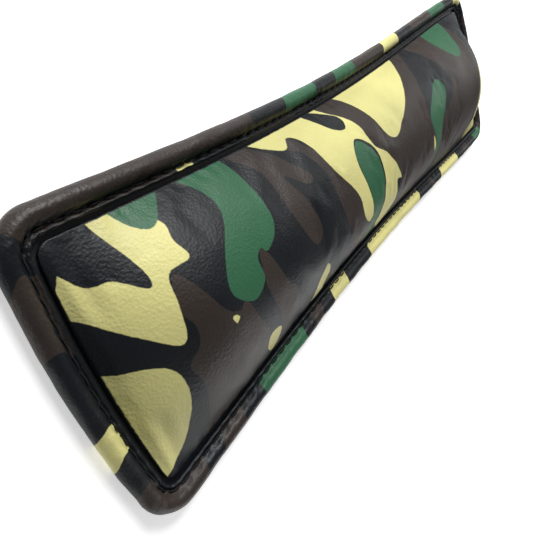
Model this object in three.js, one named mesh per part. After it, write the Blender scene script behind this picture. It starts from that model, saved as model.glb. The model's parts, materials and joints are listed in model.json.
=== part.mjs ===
// Padded forearm guard, lying crown up on the underside of its edge binding.
// Millimetres. +X is across the arm, +Y runs from the wrist end to the elbow end, +Z is up.
// The origin is on the resting plane, at the middle of the guard.
import * as THREE from "three";

// ---------------------------------------------------------------- driving sizes
const HALF_LENGTH = 150; // to the outer edge of the binding, at the corners
const END_BULGE = 1.6; // how far each end bows outward at its middle
const HALF_WAIST = 35.7; // half width at the middle of the length
const FLARE = 9.35; // widening towards both ends
const FLARE_EASE = 3.65; // part of that widening taken back near the ends
const ELBOW_FULLNESS = 3.07; // extra width on the elbow half, missing on the wrist half
const CORNER_RADIUS = 12;
const LEAST_CORNER = 1.5; // corner radius of the innermost sheets

const CROWN_HEIGHT = 14.8; // rise of the padded panel above the base sheet
const PAD_ARCH = 9.5; // rise of the base sheet over the forearm hollow
const LINING_ARCH = 8.35; // rise of the lining over the forearm hollow
const ARCH_FADE = 34; // length over which the hollow closes towards each end
const CROWN_FADE = 32; // length over which the crown rounds down to each end

const GAP = 0.25; // clearance left between neighbouring pieces
const BINDING_LEG = 0.8; // thickness of the binding under the guard
const LINING_BOTTOM = BINDING_LEG + GAP;
const LINING_THICKNESS = 0.5;
const BASE_BOTTOM = LINING_BOTTOM + LINING_THICKNESS + GAP;
const BASE_THICKNESS = 0.5;
const COVER_BOTTOM = BASE_BOTTOM + BASE_THICKNESS + GAP;
const COVER_THICKNESS = 0.8;

const SHEET_INSET = 2.5; // base sheet and lining, from the outer edge
const COVER_INSET = 8.2; // padded panel, from the outer edge
const ARCH_INSET = 8.8; // where the hollow starts, from the outer edge
const HOLLOW_COLUMNS = 6; // divisions of each sheet from the centre line to the hollow's edge
const BODY_ROWS = 20; // divisions along each sheet between the corners
const CORNER_ROWS = 3;
const ROW_CROWDING = 0.3; // how strongly the rows crowd together towards both ends
const RIM_STEP = 0.6; // least distance from a sheet's rim to its next line of points
const WHOLE = { columns: HOLLOW_COLUMNS + 1, reach: HALF_LENGTH };
const FOAM = { columns: 5, reach: 132 }; // columns kept to each side, distance reached along
const LINING_PAD = { columns: 4, reach: 123 };

// ---------------------------------------------------------------- materials
const material = (color, roughness) => new THREE.MeshStandardMaterial({ color, roughness, metalness: 0 });
const printedLeather = material(0x4c5a3e, 0.5);
const blackLeather = material(0x16171a, 0.55);
const foam = material(0x8d9096, 0.9);
const lining = material(0x1d1e20, 0.95);
const thread = material(0x111214, 0.7);
const elastic = material(0x1a1b1d, 0.85);
const hookAndLoop = material(0x232427, 0.98);
const moulded = material(0x141516, 0.45);

// ---------------------------------------------------------------- group helpers
const guard = new THREE.Group();
guard.name = "forearm_guard";

function add(name, geometry, surface) {
  const mesh = new THREE.Mesh(geometry, surface);
  mesh.name = name;
  guard.add(mesh);
  return mesh;
}

// ---------------------------------------------------------------- outline
/** Half width to the outer edge of the binding at a distance along the guard. */
function halfWidth(y) {
  const s = y / HALF_LENGTH;
  const widening = FLARE * s ** 2 - FLARE_EASE * s ** 4;
  return HALF_WAIST + widening + ELBOW_FULLNESS * s * (1 - s ** 2);
}

/** Half width at a row, moved in by inset and rounded at the corners. */
function halfWidthInside(row, inset) {
  const radius = Math.max(CORNER_RADIUS - inset, LEAST_CORNER);
  const intoCorner = Math.max(0, radius - (HALF_LENGTH - inset - Math.abs(row)));
  const cornerCut = radius - Math.sqrt(Math.max(0, radius ** 2 - intoCorner ** 2));
  return halfWidth(row) - inset - cornerCut;
}

/** How far a point bows outward: across runs -1..1 between the two sides. */
function bow(across, row, inset) {
  const towardsEnd = (Math.abs(row) / (HALF_LENGTH - inset)) ** 6;
  return Math.sign(row) * END_BULGE * towardsEnd * (1 - across ** 2);
}

/** Point of the outline moved in by inset: across runs -1..1, row is a distance along. */
function outlinePoint(across, row, inset) {
  return [across * halfWidthInside(row, inset), row + bow(across, row, inset)];
}

/** Row positions from one end to the other, closer together round the corners. */
function rowPositions(inset) {
  const reach = HALF_LENGTH - inset;
  const radius = Math.max(CORNER_RADIUS - inset, LEAST_CORNER);
  const straight = reach - radius;
  const rows = [];
  for (let i = 0; i < CORNER_ROWS; i++) {
    const angle = ((Math.PI / 2) * i) / CORNER_ROWS;
    rows.push(-straight - radius * Math.cos(angle));
  }
  for (let i = 0; i <= BODY_ROWS; i++) {
    const t = (2 * i) / BODY_ROWS - 1;
    rows.push(straight * ((1 + ROW_CROWDING) * t - ROW_CROWDING * t ** 3));
  }
  for (let i = CORNER_ROWS - 1; i >= 0; i--) {
    const angle = ((Math.PI / 2) * i) / CORNER_ROWS;
    rows.push(straight + radius * Math.cos(angle));
  }
  return rows;
}

// ---------------------------------------------------------------- heights
/** Share of a fade length reached from the nearer bowed end: 0 at the end, growing to 1. */
function endShare(x, y, inset, fadeLength) {
  const bowed = END_BULGE * acrossShare(x, y, inset);
  const fromEnd = Math.max(0, HALF_LENGTH - inset + bowed - Math.abs(y));
  return Math.min(1, fromEnd / fadeLength);
}

/** Pillow-like rise from the end, steepest at the seam. */
const pillowRise = (share) => 1 - (1 - share) ** 2;

/** S-shaped rise from the end, flat at both of its own ends. */
const easedRise = (share) => share ** 2 * (3 - 2 * share);

/** Parabola across the guard, 1 on the centre line and 0 at the given inset. */
function acrossShare(x, y, inset) {
  const half = halfWidth(y) - inset;
  return Math.max(0, 1 - (x / half) ** 2);
}

function crown(x, y) {
  const rise = pillowRise(endShare(x, y, COVER_INSET, CROWN_FADE));
  return CROWN_HEIGHT * acrossShare(x, y, COVER_INSET) * rise;
}

function hollow(x, y) {
  const rise = easedRise(endShare(x, y, ARCH_INSET + END_BULGE, ARCH_FADE));
  return acrossShare(x, y, ARCH_INSET) * rise;
}

// ---------------------------------------------------------------- sheets
/** Points across one row of a sheet: shared lines over the hollow, then the sheet's own rim. */
function rowPoints(row, inset, columns) {
  const rim = halfWidthInside(row, inset);
  const hollowHalf = Math.min(halfWidth(row) - ARCH_INSET, rim - RIM_STEP);
  const points = [];
  for (let k = -columns; k <= columns; k++) {
    const x = Math.abs(k) > HOLLOW_COLUMNS ? Math.sign(k) * rim : (k / HOLLOW_COLUMNS) * hollowHalf;
    points.push([x, row + bow(x / rim, row, inset)]);
  }
  return points;
}

/** Closed sheet following the outline, between two height functions. */
function sheet(inset, bottomHeight, topHeight, { columns, reach } = WHOLE) {
  const rows = rowPositions(inset).filter((row) => Math.abs(row) < reach);
  const positions = [];
  const faces = [];
  const across = 2 * columns;
  const stride = across + 1;
  const layer = rows.length * stride;
  for (const height of [bottomHeight, topHeight]) {
    for (const row of rows) {
      for (const [x, y] of rowPoints(row, inset, columns)) positions.push(x, y, height(x, y));
    }
  }
  const quad = (a, b, c, d) => faces.push(a, b, c, a, c, d);
  for (let j = 0; j + 1 < rows.length; j++) {
    for (let i = 0; i < across; i++) {
      const a = j * stride + i;
      quad(a, a + stride, a + stride + 1, a + 1);
      quad(layer + a, layer + a + 1, layer + a + stride + 1, layer + a + stride);
    }
    const left = j * stride;
    const right = left + across;
    quad(left, layer + left, layer + left + stride, left + stride);
    quad(right, right + stride, layer + right + stride, layer + right);
  }
  const last = layer - stride;
  for (let i = 0; i < across; i++) {
    quad(i, i + 1, layer + i + 1, layer + i);
    quad(last + i, layer + last + i, layer + last + i + 1, last + i + 1);
  }
  return closedSurface(positions, faces);
}

function closedSurface(positions, faces) {
  const geometry = new THREE.BufferGeometry();
  geometry.setAttribute("position", new THREE.Float32BufferAttribute(positions, 3));
  geometry.setIndex(faces);
  geometry.computeVertexNormals();
  return geometry;
}

const liningTop = (x, y) => LINING_BOTTOM + LINING_THICKNESS + LINING_ARCH * hollow(x, y);
const baseBottom = (x, y) => BASE_BOTTOM + PAD_ARCH * hollow(x, y);
const baseTop = (x, y) => baseBottom(x, y) + BASE_THICKNESS;
const coverBottom = (x, y) => COVER_BOTTOM + crown(x, y);

add(
  "inner_lining",
  sheet(SHEET_INSET, (x, y) => liningTop(x, y) - LINING_THICKNESS, liningTop),
  lining,
);
add(
  "lining_pad",
  sheet(ARCH_INSET, (x, y) => liningTop(x, y) + GAP, (x, y) => baseBottom(x, y) - GAP, LINING_PAD),
  foam,
);
add("base_sheet", sheet(SHEET_INSET, baseBottom, baseTop), blackLeather);
add(
  "impact_foam",
  sheet(COVER_INSET, (x, y) => baseTop(x, y) + GAP, (x, y) => coverBottom(x, y) - GAP, FOAM),
  foam,
);
add(
  "outer_cover",
  sheet(COVER_INSET, coverBottom, (x, y) => coverBottom(x, y) + COVER_THICKNESS),
  printedLeather,
);

// ---------------------------------------------------------------- edge binding
const SIDE_STATIONS = 26;
const END_STATIONS = 8;
const CORNER_STATIONS = 4;

/** The outer edge as a closed list of points, counter-clockwise seen from above. */
function outerEdge(sideStations, endStations, cornerStations) {
  const straight = HALF_LENGTH - CORNER_RADIUS;
  const cornerRow = (i) => straight + CORNER_RADIUS * Math.sin(((Math.PI / 2) * i) / cornerStations);
  const sideRows = [];
  for (let i = cornerStations; i >= 0; i--) sideRows.push(-cornerRow(i));
  for (let i = 1; i < sideStations; i++) sideRows.push(-straight + (2 * straight * i) / sideStations);
  for (let i = 0; i <= cornerStations; i++) sideRows.push(cornerRow(i));
  const endShares = [];
  for (let i = 1; i < endStations; i++) endShares.push(1 - (2 * i) / endStations);
  return [
    ...sideRows.map((row) => outlinePoint(1, row, 0)),
    ...endShares.map((across) => outlinePoint(across, HALF_LENGTH, 0)),
    ...sideRows.toReversed().map((row) => outlinePoint(-1, row, 0)),
    ...endShares.map((across) => outlinePoint(-across, -HALF_LENGTH, 0)),
  ];
}

/** Sweeps a closed section (distance in from the edge, height) round a closed path. */
function sweepRound(path, sectionAt) {
  const positions = [];
  const faces = [];
  const count = path.length;
  const sides = sectionAt(0).length;
  path.forEach(([x, y], k) => {
    const [beforeX, beforeY] = path[(k + count - 1) % count];
    const [afterX, afterY] = path[(k + 1) % count];
    const inward = new THREE.Vector2(beforeY - afterY, afterX - beforeX).normalize();
    for (const [distance, height] of sectionAt(k)) {
      positions.push(x + inward.x * distance, y + inward.y * distance, height);
    }
  });
  for (let k = 0; k < count; k++) {
    const here = k * sides;
    const next = ((k + 1) % count) * sides;
    for (let i = 0; i < sides; i++) {
      const j = (i + 1) % sides;
      faces.push(here + i, here + j, next + j, here + i, next + j, next + i);
    }
  }
  return closedSurface(positions, faces);
}

// Clockwise from the inner end of the lower leg: lower leg, puffed roll, stitched groove, folded lip.
const BINDING_SECTION = [
  [6.6, 0],
  [2.0, 0],
  [0.7, 0.9],
  [0, 3.2],
  [0.6, 4.8],
  [2.2, 5.9],
  [3.9, 5.5],
  [4.8, 3.9],
  [5.7, 3.6],
  [6.3, 4.1],
  [6.9, 3.8],
  [6.9, COVER_BOTTOM],
  [SHEET_INSET - GAP, COVER_BOTTOM],
  [SHEET_INSET - GAP, BINDING_LEG],
  [6.6, BINDING_LEG],
];
const bindingPath = outerEdge(SIDE_STATIONS, END_STATIONS, CORNER_STATIONS);
add("edge_binding", sweepRound(bindingPath, () => BINDING_SECTION.toReversed()), printedLeather);

// ---------------------------------------------------------------- binding seam
const SEAM_INSET = 5.4; // middle of the stitched groove
const SEAM_HEIGHT = 4.35;
const STITCH_LIFT = 0.3;
const THREAD_RADIUS = 0.35;
const STITCH_LENGTH = 4.4;
const STITCHES_PER_SIDE = Math.round((2 * (HALF_LENGTH - CORNER_RADIUS)) / STITCH_LENGTH);
const SEAM_END_STATIONS = 28;
const SEAM_CORNER_STATIONS = 6;
const seamPath = outerEdge(2 * STITCHES_PER_SIDE, SEAM_END_STATIONS, SEAM_CORNER_STATIONS);

/** Three-sided thread section that rises in the middle of each stitch. */
function seamSection(k) {
  const height = SEAM_HEIGHT + (k % 2 ? STITCH_LIFT : 0);
  return [0, 1, 2].map((i) => {
    const angle = Math.PI / 2 + (2 * Math.PI * i) / 3;
    return [SEAM_INSET + THREAD_RADIUS * Math.cos(angle), height + THREAD_RADIUS * Math.sin(angle)];
  });
}
add("binding_seam_thread", sweepRound(seamPath, seamSection), thread);

// ---------------------------------------------------------------- straps
const STRAP_WIDTH = 38;
const STRAP_THICKNESS = 0.8;
const STRAP_CENTRES = { wrist: -80, elbow: 80 };
const RING_HEIGHT = 2.7; // centre of the ring's wire above the resting plane
const WIRE_RADIUS = 1.0;
const RING_CLEARANCE = 0.5; // between the ring's wire and a strap round it
const STRAP_BEND = WIRE_RADIUS + RING_CLEARANCE + STRAP_THICKNESS / 2; // middle of the strap there
const UPPER_RUN = RING_HEIGHT + STRAP_BEND;
const LOWER_RUN = RING_HEIGHT - STRAP_BEND;
const RING_SPREAD = 8; // between the ring's two long bars
const RING_CORNER = 2.6;
const RING_OVERHANG = 2; // how much the ring passes the strap's edge, to the middle of its wire
const RING_CORNER_STEPS = 3;
const WIRE_SIDES = 8;
const BEND_STEPS = 8;
const SEWN_IN = 1.8; // sewn ends, in from the edge of the hollow
const OUTER_BAR_IN = 9.3; // the ring's outer bar, in from the edge of the hollow
const SEWN_HEIGHT = 1.3; // middle of a strap where it is sewn down beside the binding
const RUN_OUT = 8; // length of the slope from the sewn end up to the flat run
const TAIL_LENGTH = 25;
const TIP_LENGTH = 3.5;
const TIP_LIP = 0.4; // how much the moulded tip stands above the tail
const PAD_THICKNESS = 0.8;
const PAD_WIDTH = 34;
const PAD_BACK = 4; // bare strap left at the ring end of the loops and the tip end of the hooks
const HOOKS_FROM_RING = 5;
const LOOPS_FROM_SLOPE = 1;
const TAB_WIDTH = STRAP_WIDTH - 2;
const TAB_END = [0.7, 1.7]; // bottom and top of the ring tab where it is sewn down
const TAB_WRAP = { from: 75, to: 285 }; // degrees of the ring's outer bar that the tab goes round
const BOX_STITCH_WIRE = 0.5;
const BOX_STITCH_REACH = 2.6; // size of the stitched box across the guard
const BOX_STITCH_MARGIN = 3; // from the strap's edge to the box
const BOX_STITCH_START = 0.2; // from the sewn end to the box

/** Ribbon of even thickness along a centre line in the XZ plane, spread along Y. */
function ribbon(centreLine, thickness, width) {
  const left = [];
  const right = [];
  centreLine.forEach(([x, z], i) => {
    const [fromX, fromZ] = centreLine[Math.max(0, i - 1)];
    const [toX, toZ] = centreLine[Math.min(centreLine.length - 1, i + 1)];
    const side = new THREE.Vector2(fromZ - toZ, toX - fromX).setLength(thickness / 2);
    left.push(new THREE.Vector2(x + side.x, z + side.y));
    right.unshift(new THREE.Vector2(x - side.x, z - side.y));
  });
  return prism(left.concat(right), [], width);
}

/** Outline in the XZ plane, with holes, spread evenly to both sides of y = 0. */
function prism(outline, holes, width) {
  const shape = new THREE.Shape(outline);
  for (const hole of holes) shape.holes.push(new THREE.Path(hole));
  const geometry = new THREE.ExtrudeGeometry(shape, { depth: width, bevelEnabled: false });
  return geometry.rotateX(Math.PI / 2).translate(0, width / 2, 0);
}

function arcPoints(x, z, radius, fromDegrees, toDegrees, steps) {
  return Array.from({ length: steps + 1 }, (_, i) => {
    const angle = THREE.MathUtils.degToRad(fromDegrees + ((toDegrees - fromDegrees) * i) / steps);
    return [x + radius * Math.cos(angle), z + radius * Math.sin(angle)];
  });
}

/** Flat block between two x and two z values, centred on y = 0. */
function block(fromX, toX, fromZ, toZ, width) {
  const geometry = new THREE.BoxGeometry(toX - fromX, width, toZ - fromZ);
  return geometry.translate((fromX + toX) / 2, 0, (fromZ + toZ) / 2);
}

const toVectors = (points) => points.map(([x, z]) => new THREE.Vector2(x, z));

/** Rectangular wire ring lying flat, its two long bars at the given x values. */
function wireRing(innerX, outerX) {
  const halfAcross = (outerX - innerX) / 2;
  const halfAlong = STRAP_WIDTH / 2 + RING_OVERHANG;
  const corners = [
    [1, 1],
    [-1, 1],
    [-1, -1],
    [1, -1],
  ];
  const points = corners.flatMap(([sx, sy], i) => {
    const centreX = sx * (halfAcross - RING_CORNER);
    const centreY = sy * (halfAlong - RING_CORNER);
    const onCorner = (angle) =>
      new THREE.Vector2(centreX + RING_CORNER * Math.cos(angle), centreY + RING_CORNER * Math.sin(angle));
    const start = (Math.PI / 2) * i;
    const tip = new THREE.Vector2(sx * halfAcross, sy * halfAlong);
    const curve = new THREE.QuadraticBezierCurve(onCorner(start), tip, onCorner(start + Math.PI / 2));
    return curve.getPoints(RING_CORNER_STEPS);
  });
  const lastSide = 360 - 360 / WIRE_SIDES;
  const round = toVectors(arcPoints(0, 0, WIRE_RADIUS, 0, lastSide, WIRE_SIDES - 1));
  return sweptRing(points, round, (innerX + outerX) / 2);
}

/** Sweeps a round section along a closed flat list of points. */
function sweptRing(points, section, middleX) {
  const positions = [];
  const faces = [];
  const count = points.length;
  const sides = section.length;
  points.forEach((point, k) => {
    const before = points[(k + count - 1) % count];
    const after = points[(k + 1) % count];
    const outward = new THREE.Vector2(after.y - before.y, before.x - after.x).normalize();
    for (const corner of section) {
      positions.push(
        middleX + point.x + outward.x * corner.x,
        point.y + outward.y * corner.x,
        RING_HEIGHT + corner.y,
      );
    }
  });
  for (let k = 0; k < count; k++) {
    const here = k * sides;
    const next = ((k + 1) % count) * sides;
    for (let i = 0; i < sides; i++) {
      const j = (i + 1) % sides;
      faces.push(here + i, next + i, next + j, here + i, next + j, here + j);
    }
  }
  return closedSurface(positions, faces);
}

/** Webbing loop round the ring's outer bar, closing into one sewn end beside the binding. */
function ringTab(barX, sewnX) {
  const outside = STRAP_BEND + STRAP_THICKNESS / 2;
  const inside = STRAP_BEND - STRAP_THICKNESS / 2;
  const outer = arcPoints(barX, RING_HEIGHT, outside, TAB_WRAP.from, TAB_WRAP.to, BEND_STEPS);
  for (const height of TAB_END) outer.push([sewnX, height]);
  const lastSide = 360 - 360 / BEND_STEPS;
  const hole = arcPoints(barX, RING_HEIGHT, inside, 0, lastSide, BEND_STEPS - 1);
  return prism(toVectors(outer), [toVectors(hole)], TAB_WIDTH);
}

/** Box of stitching under a sewn end, a flat frame of thread tilted with the strap. */
function boxStitch(centreX, centreZ, slope) {
  const frame = (inset) => {
    const x = BOX_STITCH_REACH / 2 - inset;
    const y = STRAP_WIDTH / 2 - BOX_STITCH_MARGIN - inset;
    return toVectors([[-x, -y], [x, -y], [x, y], [-x, y]]);
  };
  const shape = new THREE.Shape(frame(0));
  shape.holes.push(new THREE.Path(frame(BOX_STITCH_WIRE)));
  const geometry = new THREE.ExtrudeGeometry(shape, { depth: BOX_STITCH_WIRE, bevelEnabled: false });
  return geometry.rotateY(-slope).translate(centreX, 0, centreZ);
}

function strap(end) {
  const middleY = STRAP_CENTRES[end];
  const strapEdges = [middleY - STRAP_WIDTH / 2, middleY + STRAP_WIDTH / 2];
  const hollowEdge = Math.min(...strapEdges.map(halfWidth)) - ARCH_INSET;
  const sewnX = hollowEdge - SEWN_IN;
  const outerBarX = hollowEdge - OUTER_BAR_IN;
  const innerBarX = outerBarX - RING_SPREAD;
  const place = (name, geometry, surface) => {
    add(`${end}_${name}`, geometry.translate(0, middleY, 0), surface);
  };

  // The band leaves its sewn end, crosses the hollow and turns round the ring's inner bar.
  const bend = arcPoints(innerBarX, RING_HEIGHT, STRAP_BEND, 90, -90, BEND_STEPS);
  const bandLine = [[-sewnX, SEWN_HEIGHT], [-sewnX + RUN_OUT, UPPER_RUN], ...bend];
  place("strap_band", ribbon(bandLine, STRAP_THICKNESS, STRAP_WIDTH), elastic);

  const padTop = UPPER_RUN - STRAP_THICKNESS / 2 - GAP;
  const padFrom = -sewnX + RUN_OUT + LOOPS_FROM_SLOPE;
  const padTo = innerBarX - PAD_BACK;
  place("loop_pad", block(padFrom, padTo, padTop - PAD_THICKNESS, padTop, PAD_WIDTH), hookAndLoop);

  // The tail folds back under the band and carries the hooks.
  const tailTop = LOWER_RUN + STRAP_THICKNESS / 2;
  const tailBottom = LOWER_RUN - STRAP_THICKNESS / 2;
  const tailEnd = innerBarX - TAIL_LENGTH;
  place("strap_tail", block(tailEnd, innerBarX - GAP, tailBottom, tailTop, STRAP_WIDTH), elastic);
  const hookBottom = tailTop + GAP;
  const hookTop = padTop - PAD_THICKNESS - GAP;
  const hooksFrom = tailEnd + PAD_BACK;
  const hooksTo = innerBarX - HOOKS_FROM_RING;
  place("hook_pad", block(hooksFrom, hooksTo, hookBottom, hookTop, PAD_WIDTH), hookAndLoop);
  const tipTo = tailEnd - GAP;
  place("tail_tip", block(tipTo - TIP_LENGTH, tipTo, tailBottom, tailTop + TIP_LIP, STRAP_WIDTH), moulded);

  place("ring", wireRing(innerBarX, outerBarX), moulded);
  place("ring_tab", ringTab(outerBarX, sewnX), elastic);

  const slope = Math.atan2(UPPER_RUN - SEWN_HEIGHT, RUN_OUT);
  const fromSewnEnd = BOX_STITCH_REACH / 2 + BOX_STITCH_START;
  const under = (STRAP_THICKNESS / 2 + GAP + BOX_STITCH_WIRE) / Math.cos(slope);
  const stitchHeight = SEWN_HEIGHT + fromSewnEnd * Math.tan(slope) - under;
  place("band_stitch", boxStitch(fromSewnEnd - sewnX, stitchHeight, slope), thread);
}

strap("wrist");
strap("elbow");

export default guard;
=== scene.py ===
"""Look of the padded forearm guard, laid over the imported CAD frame.

Row frame: X across the arm, Y from the wrist end to the elbow end, Z up.
The sizes below are in millimetres and are turned into metres when a mesh is made.
"""

import json
import math

import bpy
import numpy as np
from mathutils import Matrix, Vector

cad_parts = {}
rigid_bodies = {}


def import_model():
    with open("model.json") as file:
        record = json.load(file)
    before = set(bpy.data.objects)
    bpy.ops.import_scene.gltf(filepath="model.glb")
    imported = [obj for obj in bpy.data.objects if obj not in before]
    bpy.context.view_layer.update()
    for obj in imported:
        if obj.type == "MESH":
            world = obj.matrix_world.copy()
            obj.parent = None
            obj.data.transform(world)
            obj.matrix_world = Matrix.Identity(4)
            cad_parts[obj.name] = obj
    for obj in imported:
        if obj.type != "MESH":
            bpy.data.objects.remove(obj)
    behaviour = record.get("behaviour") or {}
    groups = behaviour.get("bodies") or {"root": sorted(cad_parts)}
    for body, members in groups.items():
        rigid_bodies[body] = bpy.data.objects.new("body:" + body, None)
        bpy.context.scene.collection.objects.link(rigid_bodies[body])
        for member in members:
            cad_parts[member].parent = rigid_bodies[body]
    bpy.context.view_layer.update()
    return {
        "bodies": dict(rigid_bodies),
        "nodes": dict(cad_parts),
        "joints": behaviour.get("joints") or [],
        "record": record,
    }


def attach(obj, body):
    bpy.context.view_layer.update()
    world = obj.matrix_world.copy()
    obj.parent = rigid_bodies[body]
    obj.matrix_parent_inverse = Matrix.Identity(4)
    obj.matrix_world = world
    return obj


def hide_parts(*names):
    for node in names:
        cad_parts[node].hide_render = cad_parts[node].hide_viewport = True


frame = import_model()

MM = 0.001

# ---------------------------------------------------------------- outline, as the CAD has it
HALF_LENGTH = 150.0
END_BULGE = 1.6
HALF_WAIST = 35.7
FLARE = 9.35
FLARE_EASE = 3.65
ELBOW_FULLNESS = 3.07
CORNER_RADIUS = 12.0
LEAST_CORNER = 1.5
CROWN_HEIGHT = 14.8
CROWN_FADE = 32.0
COVER_INSET = 8.2
COVER_BOTTOM = 2.55
COVER_THICKNESS = 0.8
SHEET_INSET = 2.5
SEAM_INSET = 5.4
SEAM_HEIGHT = 4.35
STITCH_LENGTH = 4.4


def half_width(y):
    """Half width to the outer edge of the binding at a distance along the guard."""
    s = y / HALF_LENGTH
    return HALF_WAIST + FLARE * s**2 - FLARE_EASE * s**4 + ELBOW_FULLNESS * s * (1 - s**2)


def outline_point(across, row, inset):
    """Outline moved in by inset: across runs -1..1 and row is a distance along."""
    radius = max(CORNER_RADIUS - inset, LEAST_CORNER)
    reach = HALF_LENGTH - inset
    into_corner = np.maximum(0, radius - (reach - np.abs(row)))
    corner_cut = radius - np.sqrt(np.maximum(0, radius**2 - into_corner**2))
    half = half_width(row) - inset - corner_cut
    bow = np.sign(row) * END_BULGE * (np.abs(row) / reach) ** 6 * (1 - across**2)
    return across * half, row + bow


def crown(x, y):
    """Rise of the padded panel."""
    share = np.clip(1 - (x / (half_width(y) - COVER_INSET)) ** 2, 0, None)
    from_end = HALF_LENGTH - COVER_INSET + END_BULGE * share - np.abs(y)
    t = np.clip(from_end / CROWN_FADE, 0, 1)
    return CROWN_HEIGHT * share * (1 - (1 - t) ** 2)


# ---------------------------------------------------------------- printed camouflage
# Each blob is the few points that its smooth closed edge runs through: (across, along).
# The layers are printed one over another on a black ground, in the order of LAYERS.
BROWN = [
    [(-15, -122), (-10, -119), (-2, -116), (1, -112), (0, -109), (8, -105.6), (17, -101), (33, -100),
     (34, -124), (24, -125.4), (12, -126.6), (5.6, -128.6), (2, -125), (-3, -124), (-7.5, -125.4)],
    [(-.6, -100.3), (6.8, -98.8), (15, -95), (30, -92), (30, -83), (15.5, -85.2), (11.5, -86.2),
     (4.7, -91.6), (-7.9, -96.7)],
    [(-34, -84), (-27.8, -82.2), (-22, -77.6), (-15.5, -77.8), (-9, -79), (-1.6, -77.4), (3.4, -74),
     (2.6, -69.4), (-4.4, -68.8), (-17.4, -71.9), (-12.2, -64.8), (-13.2, -61.3), (-17.5, -63.2),
     (-23.6, -67.8), (-29.5, -74.5), (-34, -75)],
    [(-24.7, -56), (-22.3, -60.5), (-19.3, -56.8), (-13, -54.9), (.3, -54.4), (13.3, -49.2), (33, -41),
     (33, -26), (14, -33), (-5, -44)],
    [(-36, -46), (-28, -42), (-22, -30), (-4, -16), (9, -5), (16, -8), (34, -8), (42, 60), (40, 160),
     (-40, 160), (-42, 60)],
]
CREAM = [
    [(-2, -148), (-1, -141), (3, -132.7), (11.2, -130.3), (21.9, -132.1), (28.4, -137.5), (29, -148)],
    [(-36, -128), (-31.4, -123.7), (-25.2, -115), (-20.4, -116.2), (-16, -116), (-15.2, -122.6),
     (-8.4, -124.9), (-.4, -127.6), (-5.3, -133.4), (-14.4, -140.8), (-20, -143.5), (-36, -133)],
    [(-34, -76), (-28, -71.8), (-22.3, -61.3), (-24.7, -56), (-20.8, -51.6), (-11.1, -50.4),
     (1.6, -42.1), (10.6, -39.4), (15.2, -33.6), (14, -30), (21, -22), (29, -10), (20.3, -4),
     (10.4, -7), (10, -3), (-3, -14), (-8.1, -20.6), (-17.8, -22.6), (-24, -29), (-34, -44)],
    [(-36, -20), (-28.5, -19.5), (-23.1, -14.2), (-15.6, -11.5), (-8.5, -8.7), (-5.2, -1),
     (-10, 10.4), (-18.1, 25.2), (-27, 36), (-38, 40)],
    [(18.5, -94.3), (16.8, -100.6), (22, -100.2), (27, -94.5)],
    [(13.8, -67), (18.7, -62.6), (27, -62), (28, -68), (18.5, -71)],
    [(.9, -115), (1.9, -112.7), (3.2, -114.4)],
    [(7, 36), (16, 41.5), (12, 36.8)],
    [(-8, 122), (6, 114), (22, 112), (38, 118), (36, 152), (-10, 152)],
]
OVERPRINT = [
    [(-36, -132), (-27.4, -128.4), (-18.1, -126.2), (-14.7, -127.6), (-19.5, -132.6), (-22, -138.5),
     (-38, -145)],
    [(-36, -47), (-27.6, -41.6), (-19.6, -34.8), (-18.2, -28.8), (-22.4, -27.4), (-28.3, -38)],
    [(-13.9, -30.2), (-9.2, -22.3), (-2.2, -20.6), (10.6, -20.6), (25, -24), (26, -28), (7.7, -32.8),
     (-6.8, -36)],
    [(10.4, -7), (20, -3.5), (21, 0), (13, -1)],
    [(-24, 44), (-11.2, 34.5), (-1, 34.5), (3, 50), (-5.5, 71.5), (-20, 66), (-30, 52)],
    [(-38, 108), (-14, 118), (-6, 128), (-24, 140), (-38, 136)],
]
GREEN = [
    [(-36, -123), (-29, -122.6), (-24.9, -119.2), (-25.2, -115.1), (-31, -108.3), (-36, -106)],
    [(-36, -90), (-26.5, -84.5), (-14.2, -85.8), (-8.4, -89.2), (-6, -95.2), (-7.9, -96.7),
     (-5.8, -99.7), (-.6, -100.4), (1.9, -106.3), (-3.8, -112.3), (-11.2, -108.5), (-19.2, -100),
     (-25.6, -99), (-36, -106)],
    [(-13.2, -30.5), (-8.8, -24), (-2, -21.7), (10.4, -21.6), (24, -25), (25, -28), (7.7, -32.4),
     (-6.8, -35.6)],
    [(-13, 54.3), (-6.2, 61.2), (3.6, 50.8), (13, 46), (24, 42), (9.8, 39.2), (-2.6, 34.8)],
    [(-38, 84), (-26, 80), (-15, 94), (-19, 104), (-38, 106)],
]
LAYERS = {"brown": BROWN, "cream": CREAM, "overprint": OVERPRINT, "green": GREEN}
CURVE_STEPS = 6

# Stretches of the binding along each long side: where each begins, and its colour.
RIGHT_STRETCHES = [
    (-150, "brown"), (-127, "black"), (-119, "brown"), (-108, "black"), (-99, "green"), (-73, "black"),
    (-66, "brown"), (-60, "black"), (-52, "cream"), (-40, "black"), (-20, "cream"), (38, "black"),
    (54, "brown"), (60, "black"), (70, "cream"), (99, "black"), (112, "brown"), (119, "black"),
    (134, "green"),
]
LEFT_STRETCHES = [
    (-150, "brown"), (-64, "black"), (-46, "green"), (-26, "black"), (-10, "green"), (6, "brown"),
    (34, "cream"), (52, "black"), (70, "brown"), (98, "green"), (120, "black"), (138, "cream"),
]
# Stretches of the binding across both ends, from -X to +X.
END_STRETCHES = [(-50, "black"), (-24, "brown"), (-8, "black"), (12, "cream"), (21, "black"), (30, "brown")]


def smooth_step(p0, p1, p2, p3, t):
    """Point at t, 0..1, between p1 and p2 on a smooth curve that also passes p0 and p3."""
    return 0.5 * (
        2 * p1
        + (p2 - p0) * t
        + (2 * p0 - 5 * p1 + 4 * p2 - p3) * t**2
        + (3 * p1 - p0 - 3 * p2 + p3) * t**3
    )


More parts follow.
